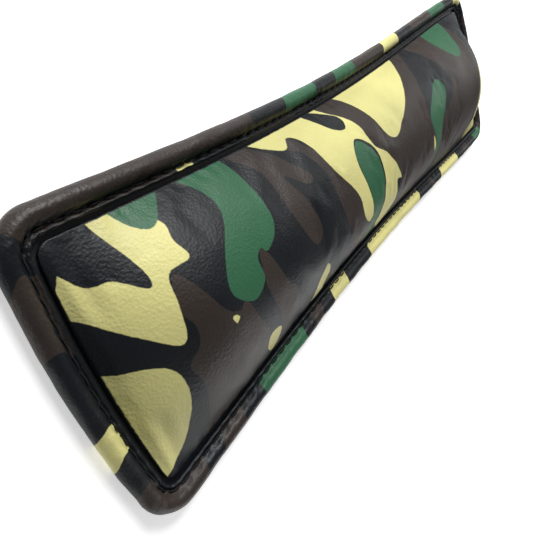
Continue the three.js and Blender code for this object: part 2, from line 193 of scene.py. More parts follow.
def smooth_loop(points):
    """Closed curve through the points."""
    here = np.array(points, float)
    before = np.roll(here, 1, axis=0)
    after = np.roll(here, -1, axis=0)
    beyond = np.roll(here, -2, axis=0)
    t = (np.arange(CURVE_STEPS) / CURVE_STEPS)[None, :, None]
    p0, p1, p2, p3 = (p[:, None, :] for p in (before, here, after, beyond))
    return smooth_step(p0, p1, p2, p3, t).reshape(-1, 2)


def inside_distance(x, y, loop):
    """Distance to the loop's edge, positive inside it."""
    nearest = np.full(x.shape, np.inf)
    inside = np.zeros(x.shape, bool)
    for (ax, ay), (bx, by) in zip(loop, np.roll(loop, -1, axis=0)):
        length_squared = (bx - ax) ** 2 + (by - ay) ** 2 + 1e-12
        share = np.clip(((x - ax) * (bx - ax) + (y - ay) * (by - ay)) / length_squared, 0, 1)
        nearest = np.minimum(nearest, np.hypot(x - ax - share * (bx - ax), y - ay - share * (by - ay)))
        if ay != by:
            crosses = (ay > y) != (by > y)
            inside ^= crosses & (x < (bx - ax) * (y - ay) / (by - ay) + ax)
    return np.where(inside, nearest, -nearest)


def layer_distances(x, y):
    """For each printed layer, how far inside its nearest blob a point lies."""
    return {
        name: np.max([inside_distance(x, y, smooth_loop(blob)) for blob in blobs], axis=0)
        for name, blobs in LAYERS.items()
    }


# ---------------------------------------------------------------- small noise
def waves(x, y, seed, wavelength, count=9):
    """Smooth irregular undulation, about -1..1, with no repeat to the eye."""
    random = np.random.default_rng(seed)
    total = np.zeros(np.shape(x))
    for _ in range(count):
        direction = random.uniform(0, 2 * math.pi)
        pitch = wavelength * random.uniform(0.7, 1.6)
        phase = random.uniform(0, 2 * math.pi)
        total += np.sin(2 * math.pi * (x * math.cos(direction) + y * math.sin(direction)) / pitch + phase)
    return total / math.sqrt(count * 2)


# ---------------------------------------------------------------- mesh helpers
def make_mesh(name, points, faces, material):
    """Smooth-shaded object from points in millimetres."""
    mesh = bpy.data.meshes.new(name)
    mesh.from_pydata((np.asarray(points) * MM).tolist(), [], faces)
    mesh.validate()
    mesh.materials.append(material)
    mesh.shade_smooth()
    made = bpy.data.objects.new(name, mesh)
    bpy.context.collection.objects.link(made)
    return made


def set_attribute(thing, name, values):
    layer = thing.data.attributes.new(name, "FLOAT", "POINT")
    layer.data.foreach_set("value", np.asarray(values, np.float32))


def grid_faces(rows, columns, start=0, flip=False):
    """Quads of a grid whose points run row by row."""
    faces = []
    for j in range(rows - 1):
        for i in range(columns - 1):
            a = start + j * columns + i
            quad = (a, a + 1, a + columns + 1, a + columns)
            faces.append(quad[::-1] if flip else quad)
    return faces


def rim_loop(rows, columns):
    """Point numbers round the edge of a grid, counter-clockwise from above."""
    bottom = list(range(columns - 1))
    right = [j * columns + columns - 1 for j in range(rows - 1)]
    top = [(rows - 1) * columns + i for i in range(columns - 1, 0, -1)]
    left = [j * columns for j in range(rows - 1, 0, -1)]
    return bottom + right + top + left


def layered_sheet(name, x, y, bottom, top, material):
    """Closed sheet between two heights given on the same grid of points."""
    rows, columns = x.shape
    points = np.concatenate([np.stack([x, y, z], -1).reshape(-1, 3) for z in (top, bottom)])
    faces = grid_faces(rows, columns) + grid_faces(rows, columns, x.size, True)
    rim = rim_loop(rows, columns)
    for a, b in zip(rim, rim[1:] + rim[:1]):
        faces.append((a, x.size + a, x.size + b, b))
    return make_mesh(name, points, faces, material)


def tube_faces(rings, sides, closed, start=0):
    """Quads joining one ring of points to the next, with end caps if it isn't closed."""
    faces = []
    for k in range(rings if closed else rings - 1):
        here = start + k * sides
        there = start + ((k + 1) % rings) * sides
        for i in range(sides):
            j = (i + 1) % sides
            faces.append((here + i, here + j, there + j, there + i))
    if not closed:
        faces.append(tuple(start + i for i in reversed(range(sides))))
        faces.append(tuple(start + (rings - 1) * sides + i for i in range(sides)))
    return faces


# ---------------------------------------------------------------- material helpers
def new_material(name, roughness):
    """A material, its shader and a tool for adding nodes."""
    material = bpy.data.materials.new(name)
    material.use_nodes = True
    shader = material.node_tree.nodes["Principled BSDF"]
    shader.inputs["Roughness"].default_value = roughness
    return material, shader


class Nodes:
    """Adds nodes to a material and links them."""

    def __init__(self, material):
        self.tree = material.node_tree

    def add(self, kind, **settings):
        node = self.tree.nodes.new(kind)
        for key, value in settings.items():
            setattr(node, key, value)
        return node

    def link(self, source, target):
        self.tree.links.new(source, target)

    def coordinates(self, scale=(1, 1, 1)):
        """Object coordinates, stretched."""
        place = self.add("ShaderNodeTexCoord")
        stretch = self.add("ShaderNodeMapping")
        stretch.inputs["Scale"].default_value = scale
        self.link(place.outputs["Object"], stretch.inputs["Vector"])
        return stretch.outputs["Vector"]

    def noise(self, vector, scale, detail=3.0):
        texture = self.add("ShaderNodeTexNoise")
        texture.inputs["Scale"].default_value = scale
        texture.inputs["Detail"].default_value = detail
        self.link(vector, texture.inputs["Vector"])
        return texture.outputs["Fac"]

    def math(self, operation, first, second):
        node = self.add("ShaderNodeMath", operation=operation)
        for socket, value in zip(node.inputs, (first, second)):
            if isinstance(value, (int, float)):
                socket.default_value = value
            else:
                self.link(value, socket)
        return node.outputs[0]

    def spread(self, value, low, high, to_low, to_high):
        """The value moved from one range to another, and kept inside it."""
        node = self.add("ShaderNodeMapRange")
        for name, number in zip(("From Min", "From Max", "To Min", "To Max"), (low, high, to_low, to_high)):
            node.inputs[name].default_value = number
        self.link(value, node.inputs["Value"])
        return node.outputs["Result"]

    def mix(self, factor, first, second, blend="MIX"):
        """Colour between two colours, each a socket or a constant."""
        node = self.add("ShaderNodeMix", data_type="RGBA", blend_type=blend)
        colour_inputs = [socket for socket in node.inputs if socket.type == "RGBA"]
        if isinstance(factor, (int, float)):
            node.inputs[0].default_value = factor
        else:
            self.link(factor, node.inputs[0])
        for socket, value in zip(colour_inputs, (first, second)):
            if isinstance(value, tuple):
                socket.default_value = (*value, 1)
            else:
                self.link(value, socket)
        return next(socket for socket in node.outputs if socket.type == "RGBA")

    def bump(self, height, strength, distance, under=None):
        node = self.add("ShaderNodeBump")
        node.inputs["Strength"].default_value = strength
        node.inputs["Distance"].default_value = distance
        self.link(height, node.inputs["Height"])
        if under is not None:
            self.link(under, node.inputs["Normal"])
        return node.outputs["Normal"]


# ---------------------------------------------------------------- materials
INK = {
    "black": (0.0065, 0.0085, 0.011),
    "brown": (0.034, 0.0255, 0.0215),
    "cream": (0.66, 0.62, 0.25),
    "green": (0.028, 0.112, 0.054),
}
PEBBLE = 1400.0  # leather grain, cells per metre
PORE = 3200.0


def leather_grain(nodes, vector, strength):
    """Bump of rounded pebbles with finer pores between them."""
    pebbles = nodes.add("ShaderNodeTexVoronoi", feature="SMOOTH_F1")
    pebbles.inputs["Scale"].default_value = PEBBLE
    nodes.link(vector, pebbles.inputs["Vector"])
    pores = nodes.noise(vector, PORE)
    height = nodes.math("ADD", pebbles.outputs["Distance"], nodes.math("MULTIPLY", pores, 0.5))
    return nodes.bump(height, strength, 0.00013)


def printed_leather(name, base, layers):
    """Leather printed in layers, each shown where its own attribute is above zero."""
    material, shader = new_material(name, 0.46)
    nodes = Nodes(material)
    vector = nodes.coordinates()
    colour = base
    for attribute, ink in layers:
        read = nodes.add("ShaderNodeAttribute", attribute_name=attribute)
        ragged = nodes.spread(nodes.noise(vector, 900.0), 0, 1, -0.16, 0.16)
        edge = nodes.math("ADD", read.outputs["Fac"], ragged)
        shown = nodes.spread(edge, -0.12, 0.12, 0, 1)
        colour = nodes.mix(shown, colour, INK[ink])
    mottle = nodes.spread(nodes.noise(vector, 34.0), 0.3, 0.7, 0.88, 1.08)
    colour = nodes.mix(1.0, colour, mottle, "MULTIPLY")
    nodes.link(colour, shader.inputs["Base Color"])
    nodes.link(nodes.spread(nodes.noise(vector, 60.0), 0.3, 0.7, 0.40, 0.54), shader.inputs["Roughness"])
    nodes.link(leather_grain(nodes, vector, 0.75), shader.inputs["Normal"])
    shader.inputs["Specular IOR Level"].default_value = 0.26
    return material


def black_leather():
    material, shader = new_material("black leather", 0.5)
    nodes = Nodes(material)
    vector = nodes.coordinates()
    shade = nodes.mix(nodes.noise(vector, 80.0), (0.008, 0.009, 0.011), (0.02, 0.021, 0.023))
    nodes.link(shade, shader.inputs["Base Color"])
    nodes.link(leather_grain(nodes, vector, 0.5), shader.inputs["Normal"])
    return material


def sewing_thread():
    """Twisted thread: fine slanting strands."""
    material, shader = new_material("sewing thread", 0.7)
    nodes = Nodes(material)
    strands = nodes.add("ShaderNodeTexWave")
    strands.inputs["Scale"].default_value = 700.0
    nodes.link(nodes.coordinates((1, 1, 2)), strands.inputs["Vector"])
    shade = nodes.mix(strands.outputs["Fac"], (0.003, 0.003, 0.0035), (0.014, 0.014, 0.015))
    nodes.link(shade, shader.inputs["Base Color"])
    nodes.link(nodes.bump(strands.outputs["Fac"], 0.6, 0.0001), shader.inputs["Normal"])
    shader.inputs["Specular IOR Level"].default_value = 0.2
    return material


def knitted_lining():
    """Brushed knit: rows of small ribs under a soft nap."""
    material, shader = new_material("knitted lining", 0.95)
    nodes = Nodes(material)
    ribs = nodes.add("ShaderNodeTexWave", bands_direction="X")
    ribs.inputs["Scale"].default_value = 300.0
    ribs.inputs["Distortion"].default_value = 2.0
    nodes.link(nodes.coordinates(), ribs.inputs["Vector"])
    nap = nodes.noise(nodes.coordinates(), 1500.0)
    shade = nodes.mix(nap, (0.010, 0.011, 0.012), (0.035, 0.036, 0.038))
    nodes.link(shade, shader.inputs["Base Color"])
    height = nodes.math("ADD", ribs.outputs["Fac"], nap)
    nodes.link(nodes.bump(height, 0.7, 0.0002), shader.inputs["Normal"])
    shader.inputs["Sheen Weight"].default_value = 0.5
    return material


def woven_elastic():
    """Elastic webbing: cross ribs every millimetre and a fine weave between them."""
    material, shader = new_material("woven elastic", 0.85)
    nodes = Nodes(material)
    ribs = nodes.add("ShaderNodeTexWave", bands_direction="Y")
    ribs.inputs["Scale"].default_value = 320.0
    nodes.link(nodes.coordinates(), ribs.inputs["Vector"])
    weave = nodes.add("ShaderNodeTexWave", bands_direction="X")
    weave.inputs["Scale"].default_value = 420.0
    nodes.link(nodes.coordinates(), weave.inputs["Vector"])
    height = nodes.math("ADD", ribs.outputs["Fac"], nodes.math("MULTIPLY", weave.outputs["Fac"], 0.6))
    shade = nodes.mix(height, (0.006, 0.006, 0.007), (0.022, 0.023, 0.025))
    nodes.link(shade, shader.inputs["Base Color"])
    nodes.link(nodes.bump(height, 0.8, 0.0002), shader.inputs["Normal"])
    shader.inputs["Sheen Weight"].default_value = 0.25
    return material


def hook_and_loop():
    """Fuzzy fastener pile."""
    material, shader = new_material("hook and loop", 1.0)
    nodes = Nodes(material)
    pile = nodes.noise(nodes.coordinates(), 2600.0, 6.0)
    nodes.link(nodes.mix(pile, (0.004, 0.004, 0.004), (0.045, 0.045, 0.048)), shader.inputs["Base Color"])
    nodes.link(nodes.bump(pile, 1.0, 0.0006), shader.inputs["Normal"])
    shader.inputs["Sheen Weight"].default_value = 0.6
    return material


def moulded_plastic():
    material, shader = new_material("moulded plastic", 0.38)
    nodes = Nodes(material)
    vector = nodes.coordinates()
    nodes.link(nodes.mix(nodes.noise(vector, 200.0), (0.008, 0.008, 0.009), (0.016, 0.016, 0.018)),
               shader.inputs["Base Color"])
    nodes.link(nodes.bump(nodes.noise(vector, 1800.0), 0.25, 0.0001), shader.inputs["Normal"])
    return material


def open_cell_foam():
    material, shader = new_material("open cell foam", 0.95)
    nodes = Nodes(material)
    cells = nodes.noise(nodes.coordinates(), 2200.0)
    nodes.link(nodes.mix(cells, (0.12, 0.125, 0.13), (0.33, 0.34, 0.35)), shader.inputs["Base Color"])
    nodes.link(nodes.bump(cells, 0.9, 0.0004), shader.inputs["Normal"])
    return material


# ---------------------------------------------------------------- padded panel
COVER_ROWS = 340
COVER_COLUMNS = 92
ROW_CROWDING = 0.12
COLUMN_CROWDING = 1.25
PUCKER_REACH = 7.0  # how far the puckers run in from the seam
PUCKER_DEPTH = 0.22
PANEL_RIM = 0.45  # black edge of the panel, turned down into the seam
PUCKER_START = 1.2  # from the seam itself to full depth
PANEL_ROLL = 0.32  # height of the broad unevenness of the stuffed panel
PANEL_ROLL_LENGTH = 46.0
PANEL_ROLL_START = 14.0  # from the seam to full height
CLOTH_ROWS = 110
CLOTH_COLUMNS = 32
CLOTH_PRESSURE = 4.0
CLOTH_SLACK = 0.01  # share by which the cover is cut larger than its bed of foam
CLOTH_FRAMES = 20
CLOTH_CAP = 0.5  # furthest that the cloth moves the cover


def cover_rows():
    """Distances along, closer together at both ends."""
    t = np.linspace(-1, 1, COVER_ROWS)
    eased = (1 + ROW_CROWDING) * t - ROW_CROWDING * t**3
    return (HALF_LENGTH - COVER_INSET) * eased


def cover_columns():
    """Shares across, -1..1, closer together at both sides."""
    return np.sin(np.linspace(-1, 1, COVER_COLUMNS) * COLUMN_CROWDING) / math.sin(COLUMN_CROWDING)


def settled_rise(across, rows):
    """Height that a cloth of the panel's shape gains when it is pinned at the seam and stuffed."""
    coarse_across = np.linspace(-1, 1, CLOTH_COLUMNS)
    coarse_rows = np.linspace(-1, 1, CLOTH_ROWS) * (HALF_LENGTH - COVER_INSET)
    x, y = outline_point(*np.meshgrid(coarse_across, coarse_rows), COVER_INSET)
    z = COVER_BOTTOM + COVER_THICKNESS + crown(x, y)
    points = np.stack([x, y, z], -1).reshape(-1, 3)
    cloth = make_mesh("panel_cloth", points, grid_faces(CLOTH_ROWS, CLOTH_COLUMNS), black_leather())
    seam = cloth.vertex_groups.new(name="seam")
    seam.add(rim_loop(CLOTH_ROWS, CLOTH_COLUMNS), 1.0, "REPLACE")
    settings = cloth.modifiers.new("stuffing", "CLOTH").settings
    settings.vertex_group_mass = "seam"
    settings.use_pressure = True
    settings.uniform_pressure_force = CLOTH_PRESSURE
    settings.shrink_min = -CLOTH_SLACK
    settings.effector_weights.gravity = 0
    for frame in range(1, CLOTH_FRAMES + 1):
        bpy.context.scene.frame_set(frame)
    stuffed = cloth.evaluated_get(bpy.context.evaluated_depsgraph_get()).data.vertices
    rise = np.array([vertex.co.z for vertex in stuffed]).reshape(x.shape) / MM - z
    bpy.data.objects.remove(cloth)
    bpy.context.scene.frame_set(1)
    rise = CLOTH_CAP * np.tanh(rise / CLOTH_CAP)
    finer = np.array([np.interp(across[0], coarse_across, row) for row in rise])
    return np.array([np.interp(rows[:, 0], coarse_rows, column) for column in finer.T]).T


def panel_height(x, y, rim_distance):
    """Top of the stuffed panel: crown, broad unevenness, and puckers where the seam pulls it."""
    broad = PANEL_ROLL * waves(x, y, 3, PANEL_ROLL_LENGTH) * np.clip(rim_distance / PANEL_ROLL_START, 0, 1)
    fading = np.clip(1 - rim_distance / PUCKER_REACH, 0, 1) ** 1.6
    near_rim = fading * np.clip(rim_distance / PUCKER_START, 0, 1)
    pulled = np.sin(2 * math.pi * (y + 0.7 * waves(x, y, 8, 9.0)) / STITCH_LENGTH)
    uneven = 0.6 + 0.4 * waves(x, y, 5, 21.0)
    stuffed = COVER_BOTTOM + COVER_THICKNESS + crown(x, y)
    return stuffed + broad + PUCKER_DEPTH * near_rim * pulled * uneven


PANEL_LAYERS = [
    ("brown", "brown"),
    ("cream", "cream"),
    ("overprint", "black"),
    ("green", "green"),
    ("rim", "black"),
]


def padded_panel():
    """The stuffed cover, with how far inside each printed layer every point lies."""
    across, rows = np.meshgrid(cover_columns(), cover_rows())
    x, y = outline_point(across, rows, COVER_INSET)
    side_distance = (1 - np.abs(across)) * half_width(rows)
    end_distance = HALF_LENGTH - COVER_INSET - np.abs(rows)
    rim_distance = np.minimum(side_distance, end_distance)
    top = panel_height(x, y, rim_distance)
    top += settled_rise(across, rows)
    bottom = np.minimum(COVER_BOTTOM + crown(x, y), top - COVER_THICKNESS / 2)
    leather = printed_leather("printed panel", INK["black"], PANEL_LAYERS)
    panel = layered_sheet("padded_panel", x, y, bottom, top, leather)
    for name, distances in layer_distances(x.ravel(), y.ravel()).items():
        set_attribute(panel, name, np.tile(distances, 2))
    set_attribute(panel, "rim", np.tile((PANEL_RIM - rim_distance).ravel(), 2))
    return panel


# ---------------------------------------------------------------- edge binding
# Round the roll and its folded lip, from under the guard: (distance in from the edge, height).
ROLL_LINE = [
    (6.6, 0), (4.4, 0), (2.0, 0.05), (0.7, 0.9), (0, 3.0), (0.6, 4.8),
    (2.2, 5.85), (3.9, 5.4), (4.9, 4.0), (5.7, 3.6), (6.35, 4.05), (6.9, 3.7),
]
INNER_LINE = [(6.9, 2.55), (2.25, 2.55), (2.25, 0.8), (6.6, 0.8)]
ROLL_STEPS = 4
STATION_PITCH = 0.85
PRINT_WANDER = 1.4  # how far a printed edge wanders along the roll
PRINT_LEAN = 0.8  # how far it leans along the roll for each millimetre of height
END_ZONE = 9.0  # length at each end where the binding runs across the guard
END_SIDE_MARGIN = 3.0
GROOVE_SHADE_BAND = (4.5, 5.5)  # painted shade: the groove between roll and lip, in from the edge, coloured black
GAP_SHADE_EDGE = 6.3  # painted shade beyond this on the left, coloured black in the gap where the lip meets the panel
RIGHT_LIP_PRINT_AND_SHADE_EDGE = 5.6  # black beyond this on the right: the lip printed black, and painted shade in the gap at the panel
PAST_THE_END = 400.0  # where the last stretch ends, beyond the guard
OFF = -9.0  # well outside a printed layer
LIP_BLACK_FROM = -101.0  # on the left the lip is brown up to here, and black beyond
LIP_SLIVER = (5.9, -97.0, 6.0)  # cream printed on the lip: distance in, distance along, length
CREASE_DEPTH = 0.32  # creases that the stitches pull
FOLD_DEPTH = 0.12  # uneven swelling of the roll


def open_curve(points, steps):
    """Smooth curve through the points, both ends included."""
    line = np.array([points[0], *points, points[-1]], float)
    shares = np.arange(steps) / steps
    spans = zip(line, line[1:], line[2:], line[3:])
    curve = [smooth_step(*span, t) for span in spans for t in shares]
    return np.array(curve + [line[-1]])


def outer_edge():
    """The outer edge at even steps, counter-clockwise from above, with inward directions and lengths."""
    rows = np.sin(np.linspace(-math.pi / 2, math.pi / 2, 1200)) * HALF_LENGTH
    across = np.linspace(1, -1, 200)[1:-1]
    right = np.stack(outline_point(np.ones_like(rows), rows, 0), -1)
    far = np.stack(outline_point(across, np.full_like(across, HALF_LENGTH), 0), -1)
    left = np.stack(outline_point(-np.ones_like(rows), rows[::-1], 0), -1)
    near = np.stack(outline_point(-across, np.full_like(across, -HALF_LENGTH), 0), -1)
    line = np.concatenate([right, far, left, near])
    closed = np.concatenate([line, line[:1]])
    lengths = np.concatenate([[0], np.cumsum(np.hypot(*np.diff(closed, axis=0).T))])
    count = int(lengths[-1] / STATION_PITCH)
    at = np.linspace(0, lengths[-1], count, endpoint=False)
    even = np.stack([np.interp(at, lengths, closed[:, k]) for k in (0, 1)], -1)
    along = np.roll(even, -2, axis=0) - np.roll(even, 2, axis=0)
    inward = np.stack([-along[:, 1], along[:, 0]], -1)
    inward /= np.hypot(*inward.T)[:, None]
    return even, inward, at


def stretch_distances(position, stretches, colour):
    """How far inside the nearest stretch of a colour each position lies."""
    starts = [start for start, _ in stretches]
    ends = starts[1:] + [PAST_THE_END]
    inside = [
        np.minimum(position - start, end - position)
        for start, end, (_, name) in zip(starts, ends, stretches)
        if name == colour
    ]
    return np.max(inside, axis=0) if inside else np.full(position.shape, OFF)


def roll_swell(x, y, station, depth, height, on_roll):
    """Swelling of the roll: creases that the stitches pull, and an uneven fold between them."""
    near_seam = np.exp(-(((depth - SEAM_INSET) / 1.7) ** 2))
    slanted = station + 1.6 * height + 1.1 * waves(x, y, 21, 14.0)
    creases = np.sin(2 * math.pi * slanted / STITCH_LENGTH) * (0.55 + 0.45 * waves(x, y, 22, 17.0))
    fold = waves(x + 0 * height, y + 2.5 * height, 23, 11.0)
    pulled = CREASE_DEPTH * creases * (0.12 + near_seam)
    return on_roll * (pulled + FOLD_DEPTH * fold * (1 - near_seam))


def print_binding(binding, x, y, depth, height):
    """Marks on the binding how far inside each printed colour every point lies, and where the groove and
    the gap at the panel are painted black as shade.
    """
    wander = PRINT_WANDER * waves(x + 0 * depth, y + depth, 31, 12.0, 5) + PRINT_LEAN * height
    at_end = (np.abs(y) > HALF_LENGTH - END_ZONE) & (np.abs(x) < half_width(y) - END_SIDE_MARGIN)
    for colour in ("cream", "green", "brown"):
        right = stretch_distances(y + wander, RIGHT_STRETCHES, colour)
        left = stretch_distances(y + wander, LEFT_STRETCHES, colour)
        ends = stretch_distances(x + wander, END_STRETCHES, colour)
        side = np.where(x > 0, right, left)
        set_attribute(binding, colour, np.where(at_end, ends, side).ravel())
    # painted shade: black in the groove between roll and lip and in the gap where the lip meets the panel;
    # on the lip itself the black is print
    groove_shade = np.minimum(depth - GROOVE_SHADE_BAND[0], GROOVE_SHADE_BAND[1] - depth)
    groove_and_gap_shade = np.maximum(groove_shade, depth - GAP_SHADE_EDGE)
    left_lip_print_and_shade = np.where(y < LIP_BLACK_FROM, groove_and_gap_shade, depth - GROOVE_SHADE_BAND[0])
    lip_print_and_shade = np.where(x > 0, depth - RIGHT_LIP_PRINT_AND_SHADE_EDGE, left_lip_print_and_shade)
    set_attribute(binding, "lip_print_and_shade", (lip_print_and_shade + 0.15 * waves(x, y, 41, 15.0)).ravel())
    sliver_in, sliver_along, sliver_length = LIP_SLIVER
    sliver = np.minimum(sliver_length / 2 - np.abs(y - sliver_along), 0.5 - np.abs(depth - sliver_in))
    set_attribute(binding, "sliver", np.where(x < 0, sliver, -1).ravel())


BINDING_LAYERS = [
    ("cream", "cream"),
    ("green", "green"),
    ("brown", "brown"),
    # black print on the lip, together with painted shade in its groove and in the gap at the panel
    ("lip_print_and_shade", "black"),
    ("sliver", "cream"),
]


def edge_roll():
    """The binding: its section swept round the outline, swollen and creased."""
    even, inward, at = outer_edge()
    roll = open_curve(ROLL_LINE, ROLL_STEPS)
    section = np.concatenate([roll, np.array(INNER_LINE)])
    sides = len(section)
    x, y, inward_x, inward_y = (column[:, None] for column in (*even.T, *inward.T))
    depth, height = (row[None, :] for row in section.T)
    on_roll = ((np.arange(sides) < len(roll)) & (section[:, 1] > 0.6))[None, :]
    swell = roll_swell(x, y, at[:, None], depth, height, on_roll)
    lean_in = np.clip((depth - 2.6) / 3, -1, 1)
    swollen_depth = depth + 0.4 * swell * lean_in + np.where(depth < 2.4, -0.5 * swell, 0)
    swollen_depth = np.maximum(swollen_depth, 0)
    swollen_height = height + swell * np.clip((height - 1.5) / 3, 0, 1)
    around = [x + inward_x * swollen_depth, y + inward_y * swollen_depth, swollen_height]
    points = np.stack(around, -1).reshape(-1, 3)
    leather = printed_leather("printed binding", INK["black"], BINDING_LAYERS)
    binding = make_mesh("edge_roll", points, tube_faces(len(even), sides, closed=True), leather)
    print_binding(binding, x, y, depth, height)
    return binding


# ---------------------------------------------------------------- stitches
STITCH_SIDES = 6
STITCH_RINGS = 7
STITCH_GAP = 0.9
STITCH_RADIUS = 0.26


def stitches(name, line, sunk, bulge_height):
    """Separate stitches along a closed line of points, each sinking in at both ends."""
    closed = np.concatenate([line, line[:1]])
    lengths = np.concatenate([[0], np.cumsum(np.linalg.norm(np.diff(closed, axis=0), axis=1))])
    total = lengths[-1]
    count = max(1, round(total / STITCH_LENGTH))
    pitch = total / count

    def point_at(where):
        return np.array([np.interp(where % total, lengths, closed[:, c]) for c in range(3)])

    points, faces = [], []
    for n in range(count):
        start = len(points)
        for t in np.linspace(0, 1, STITCH_RINGS):
            where = n * pitch + STITCH_GAP / 2 + t * (pitch - STITCH_GAP)
            centre = point_at(where)
            way = point_at(where + 0.15) - point_at(where - 0.15)
            way /= np.linalg.norm(way)
            sideways = np.cross((0, 0, 1), way)
            bulge = math.sin(math.pi * t)
            radius = STITCH_RADIUS * (0.55 + 0.45 * bulge)
            centre[2] += bulge_height * bulge - sunk
            for angle in np.linspace(0, 2 * math.pi, STITCH_SIDES, endpoint=False):
                side = radius * math.cos(angle)
                points.append(centre + sideways * side + np.array([0, 0, radius * math.sin(angle)]))
        faces += tube_faces(STITCH_RINGS, STITCH_SIDES, closed=False, start=start)
    return make_mesh(name, points, faces, sewing_thread())


def seam_stitches():
    """Stitches lying in the groove between the roll and its lip."""
    even, inward, _ = outer_edge()
    seam = even + inward * SEAM_INSET
    line = np.concatenate([seam, np.full((len(seam), 1), SEAM_HEIGHT)], axis=1)
    return stitches("seam_stitches", line, sunk=0.62, bulge_height=0.25)


# ---------------------------------------------------------------- lining
LINING_BOTTOM = 1.05
LINING_THICKNESS = 0.5
LINING_ARCH = 8.35
ARCH_INSET = 8.8
ARCH_FADE = 34.0
LINING_ROWS = 150
LINING_COLUMNS = 60
LINING_SLACK = 0.18


def hollow(x, y):
    """Rise of the lining over the forearm hollow, as a share of its full height."""
    share = np.clip(1 - (x / (half_width(y) - ARCH_INSET)) ** 2, 0, None)
    from_end = HALF_LENGTH - ARCH_INSET - END_BULGE + END_BULGE * share - np.abs(y)
    t = np.clip(from_end / ARCH_FADE, 0, 1)
    return share * t**2 * (3 - 2 * t)


def lining():
    """Knitted lining stretched over the hollow, a little uneven over its padding."""
    rows = np.linspace(SHEET_INSET - HALF_LENGTH, HALF_LENGTH - SHEET_INSET, LINING_ROWS)
    across, along = np.meshgrid(np.linspace(-1, 1, LINING_COLUMNS), rows)
    x, y = outline_point(across, along, SHEET_INSET)
    arch = hollow(x, y)
    uneven = LINING_SLACK * waves(x, y, 61, 24.0) * np.clip(3 * arch, 0, 1)
    bottom = LINING_BOTTOM + LINING_ARCH * arch + uneven
    return layered_sheet("knitted_lining", x, y, bottom, bottom + LINING_THICKNESS, knitted_lining())


# ---------------------------------------------------------------- straps
STRAP_WIDTH = 38.0
STRAP_THICKNESS = 0.8
STRAP_CENTRES = {"wrist": -80.0, "elbow": 80.0}
RING_HEIGHT = 2.7
WIRE_RADIUS = 1.0
STRAP_BEND = 1.9
RING_SPREAD = 8.0
RING_CORNER = 2.6
RING_HALF_ALONG = 21.0
SEWN_HEIGHT = 1.3
RUN_OUT = 8.0
TAIL_LENGTH = 25.0
GAP = 0.25
SEWN_IN = 1.8  # sewn ends, in from the edge of the hollow
OUTER_BAR_IN = 9.3  # the ring's outer bar, in from the edge of the hollow
TAB_WIDTH = STRAP_WIDTH - 2
TAB_WRAP = (75, 285)  # degrees of the outer bar that the tab goes round
TAB_ENDS = (1.6, 0.8)  # heights of the tab's two layers where they are sewn down
SELVEDGE_STEPS = 4
WEBBING_PITCH = 0.5  # between rows of points along a band
WIRE_SIDES = 16
RING_CORNER_STEPS = 8
BOX_REACH = (0.4, 2.6)  # stitched box, in from the sewn end
BOX_MARGIN = 3.0  # from the strap's edge to the box
BOX_DROP = 0.25  # the stitches' line, below the strap's underside


def strap_places(middle):
    """The sewn end, and the ring's outer and inner bars, across the guard."""
    edges = np.array([middle - STRAP_WIDTH / 2, middle + STRAP_WIDTH / 2])
    hollow_edge = float(half_width(edges).min()) - ARCH_INSET
    outer_bar = hollow_edge - OUTER_BAR_IN
    return hollow_edge - SEWN_IN, outer_bar, outer_bar - RING_SPREAD


def arc(x, z, radius, start, end, steps=20):
    angles = np.radians(np.linspace(start, end, steps + 1))
    return [(x + radius * math.cos(a), z + radius * math.sin(a)) for a in angles]


def webbing(name, line, middle, width, material):
    """Woven band of even thickness with rounded selvedges, along a line in the XZ plane."""
    line = np.array(line, float)
    lengths = np.concatenate([[0], np.cumsum(np.linalg.norm(np.diff(line, axis=0), axis=1))])
    at = np.linspace(0, lengths[-1], int(lengths[-1] / WEBBING_PITCH))
    even = np.stack([np.interp(at, lengths, line[:, k]) for k in (0, 1)], -1)
    way = np.gradient(even, axis=0)
    way /= np.linalg.norm(way, axis=1)[:, None]
    edge = STRAP_THICKNESS / 2
    round_side = arc(width / 2 - edge, 0, edge, -90, 90, SELVEDGE_STEPS)
    section = round_side + [(-y, -offset) for y, offset in round_side]
    points = [
        (x - dz * offset, middle + y, z + dx * offset)
        for (x, z), (dx, dz) in zip(even, way)
        for y, offset in section
    ]
    return make_mesh(name, points, tube_faces(len(even), len(section), closed=False), material)


def wire_ring(name, inner, outer, middle, material):
    """Rectangular ring of round wire."""
    half_across = (outer - inner) / 2
    path = []
    for number, (sx, sy) in enumerate([(1, 1), (-1, 1), (-1, -1), (1, -1)]):
        centre_x = sx * (half_across - RING_CORNER)
        centre_y = sy * (RING_HALF_ALONG - RING_CORNER)
        path += arc(centre_x, centre_y, RING_CORNER, 90 * number, 90 * number + 90, RING_CORNER_STEPS)
    path = np.array(path)
    way = np.roll(path, -1, axis=0) - np.roll(path, 1, axis=0)
    way /= np.linalg.norm(way, axis=1)[:, None]
    last_side = 360 - 360 / WIRE_SIDES
    points = [
        ((inner + outer) / 2 + x + dy * out, middle + y - dx * out, RING_HEIGHT + up)
        for (x, y), (dx, dy) in zip(path, way)
        for out, up in arc(0, 0, WIRE_RADIUS, 0, last_side, WIRE_SIDES - 1)
    ]
    return make_mesh(name, points, tube_faces(len(path), WIRE_SIDES, closed=True), material)


def box_stitching(name, sewn, middle):
    """Box of stitches where the band is sewn down."""
    slope = (RING_HEIGHT + STRAP_BEND - SEWN_HEIGHT) / RUN_OUT
    near, far = (reach - sewn for reach in BOX_REACH)
    half = STRAP_WIDTH / 2 - BOX_MARGIN
    low, high = middle - half, middle + half
    corners = [(near, low), (far, low), (far, high), (near, high)]
    under = SEWN_HEIGHT - STRAP_THICKNESS / 2 - BOX_DROP
    line = np.array([(x, y, under + slope * (x + sewn)) for x, y in corners])
    return stitches(name, line, sunk=-0.1, bulge_height=-0.35)


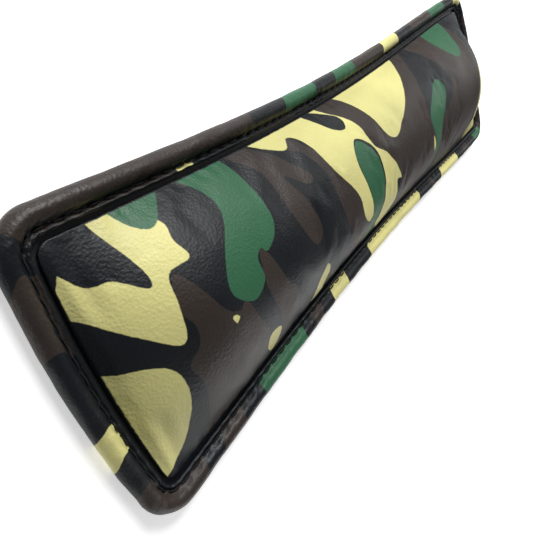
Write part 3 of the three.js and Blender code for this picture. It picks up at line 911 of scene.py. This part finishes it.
def strap_pieces(end, materials):
    """A strap's visible pieces: the CAD node each stands for, the object, its body and its slot."""
    elastic, plastic = materials
    middle = STRAP_CENTRES[end]
    sewn, outer, inner = strap_places(middle)
    low_run, high_run = RING_HEIGHT - STRAP_BEND, RING_HEIGHT + STRAP_BEND
    band_line = [(-sewn, SEWN_HEIGHT), (-sewn + RUN_OUT, high_run)]
    band_line += arc(inner, RING_HEIGHT, STRAP_BEND, 90, -90)
    tail_line = [(inner - TAIL_LENGTH, low_run), (inner - GAP, low_run)]
    tab_top, tab_bottom = ((sewn, height) for height in TAB_ENDS)
    tab_line = [tab_top, *arc(outer, RING_HEIGHT, STRAP_BEND, *TAB_WRAP), tab_bottom]
    band = webbing(f"{end}_band_webbing", band_line, middle, STRAP_WIDTH, elastic)
    tail = webbing(f"{end}_tail_webbing", tail_line, middle, STRAP_WIDTH, elastic)
    tab = webbing(f"{end}_tab_webbing", tab_line, middle, TAB_WIDTH, elastic)
    ring = wire_ring(f"{end}_wire_ring", inner, outer, middle, plastic)
    box = box_stitching(f"{end}_box_stitching", sewn, middle)
    return [
        ("strap_band", band, "pad", "elastic"),
        ("strap_tail", tail, f"{end}_tail", "elastic"),
        ("ring_tab", tab, "pad", "elastic"),
        ("ring", ring, f"{end}_ring_body", "moulded_plastic"),
        ("band_stitch", box, "pad", "thread"),
    ]


def round_edges(node, radius):
    """Softens the edges of a CAD piece that keeps its shape."""
    bevel = node.modifiers.new("round edges", "BEVEL")
    bevel.width = radius * MM
    bevel.segments = 3


# ---------------------------------------------------------------- light, floor, camera
FLOOR_GLOW = 0.5  # keeps the paper white where the object shades it
ROOM_GLOW = 0.14


def floor():
    bpy.ops.mesh.primitive_plane_add(size=12)
    plane = bpy.context.object
    plane.name = "studio_floor"
    material, shader = new_material("studio floor", 0.9)
    shader.inputs["Base Color"].default_value = (0.93, 0.93, 0.93, 1)
    shader.inputs["Emission Color"].default_value = (1, 1, 1, 1)
    shader.inputs["Emission Strength"].default_value = FLOOR_GLOW
    plane.data.materials.append(material)


def softbox(name, place, aim, size, power):
    light = bpy.data.lights.new(name, "AREA")
    light.shape = "RECTANGLE"
    light.size, light.size_y = size
    light.energy = power
    lamp = bpy.data.objects.new(name, light)
    lamp.location = place
    lamp.rotation_euler = (Vector(aim) - Vector(place)).to_track_quat("-Z", "Y").to_euler()
    bpy.context.collection.objects.link(lamp)


def studio():
    world = bpy.data.worlds.new("studio")
    world.use_nodes = True
    backdrop = world.node_tree.nodes["Background"]
    backdrop.inputs["Color"].default_value = (1, 1, 1, 1)
    backdrop.inputs["Strength"].default_value = ROOM_GLOW
    bpy.context.scene.world = world
    softbox("key", (-0.75, 0.2, 0.55), (0, 0.03, 0), (0.5, 0.4), 12)
    softbox("right strip", (0.6, 0.0, 0.16), (0, -0.05, 0.01), (0.9, 0.16), 1.7)
    softbox("far sheen", (-0.1, 1.1, 0.45), (0, 0.05, 0), (0.5, 0.3), 1.2)
    bpy.context.scene.view_settings.view_transform = "Standard"


def camera():
    """Close to the wrist end, looking along the guard towards the elbow end."""
    data = bpy.data.cameras.new("camera")
    data.lens = 32.72
    data.sensor_width = 36
    data.clip_start = 0.005
    eye = bpy.data.objects.new("camera", data)
    right = Vector((0.3182, 0.5194, 0.7931)).normalized()
    back = Vector((-0.4077, -0.6803, 0.6091))
    back = (back - right * back.dot(right)).normalized()
    up = back.cross(right)
    turn = Matrix((right, up, back)).transposed().to_4x4()
    eye.matrix_world = Matrix.Translation((-0.05178, -0.18621, 0.10006)) @ turn
    bpy.context.collection.objects.link(eye)
    bpy.context.scene.camera = eye


# ---------------------------------------------------------------- assembly
def paint(node, material):
    node.data.materials.clear()
    node.data.materials.append(material)


def finish_cad_pieces(nodes):
    """Materials for the pieces that keep their CAD shape."""
    pile, plastic, foam = hook_and_loop(), moulded_plastic(), open_cell_foam()
    paint(nodes["base_sheet"], black_leather())
    for name in ("impact_foam", "lining_pad"):
        paint(nodes[name], foam)
    for end in STRAP_CENTRES:
        for name in ("loop_pad", "hook_pad"):
            paint(nodes[f"{end}_{name}"], pile)
            round_edges(nodes[f"{end}_{name}"], 0.2)
        paint(nodes[f"{end}_tail_tip"], plastic)
        round_edges(nodes[f"{end}_tail_tip"], 0.3)


def dress(node_name, made, body):
    """Puts a made piece in the place of its CAD node."""
    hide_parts(node_name)
    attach(made, body)


def assemble():
    nodes = frame["nodes"]
    floor()
    studio()
    camera()
    panel = padded_panel()
    knit = lining()
    dress("outer_cover", panel, "pad")
    dress("inner_lining", knit, "pad")
    dress("edge_binding", edge_roll(), "pad")
    dress("binding_seam_thread", seam_stitches(), "pad")
    materials = (woven_elastic(), moulded_plastic())
    for end in STRAP_CENTRES:
        for node, made, body, material_slot in strap_pieces(end, materials):
            dress(f"{end}_{node}", made, body)
    finish_cad_pieces(nodes)


assemble()
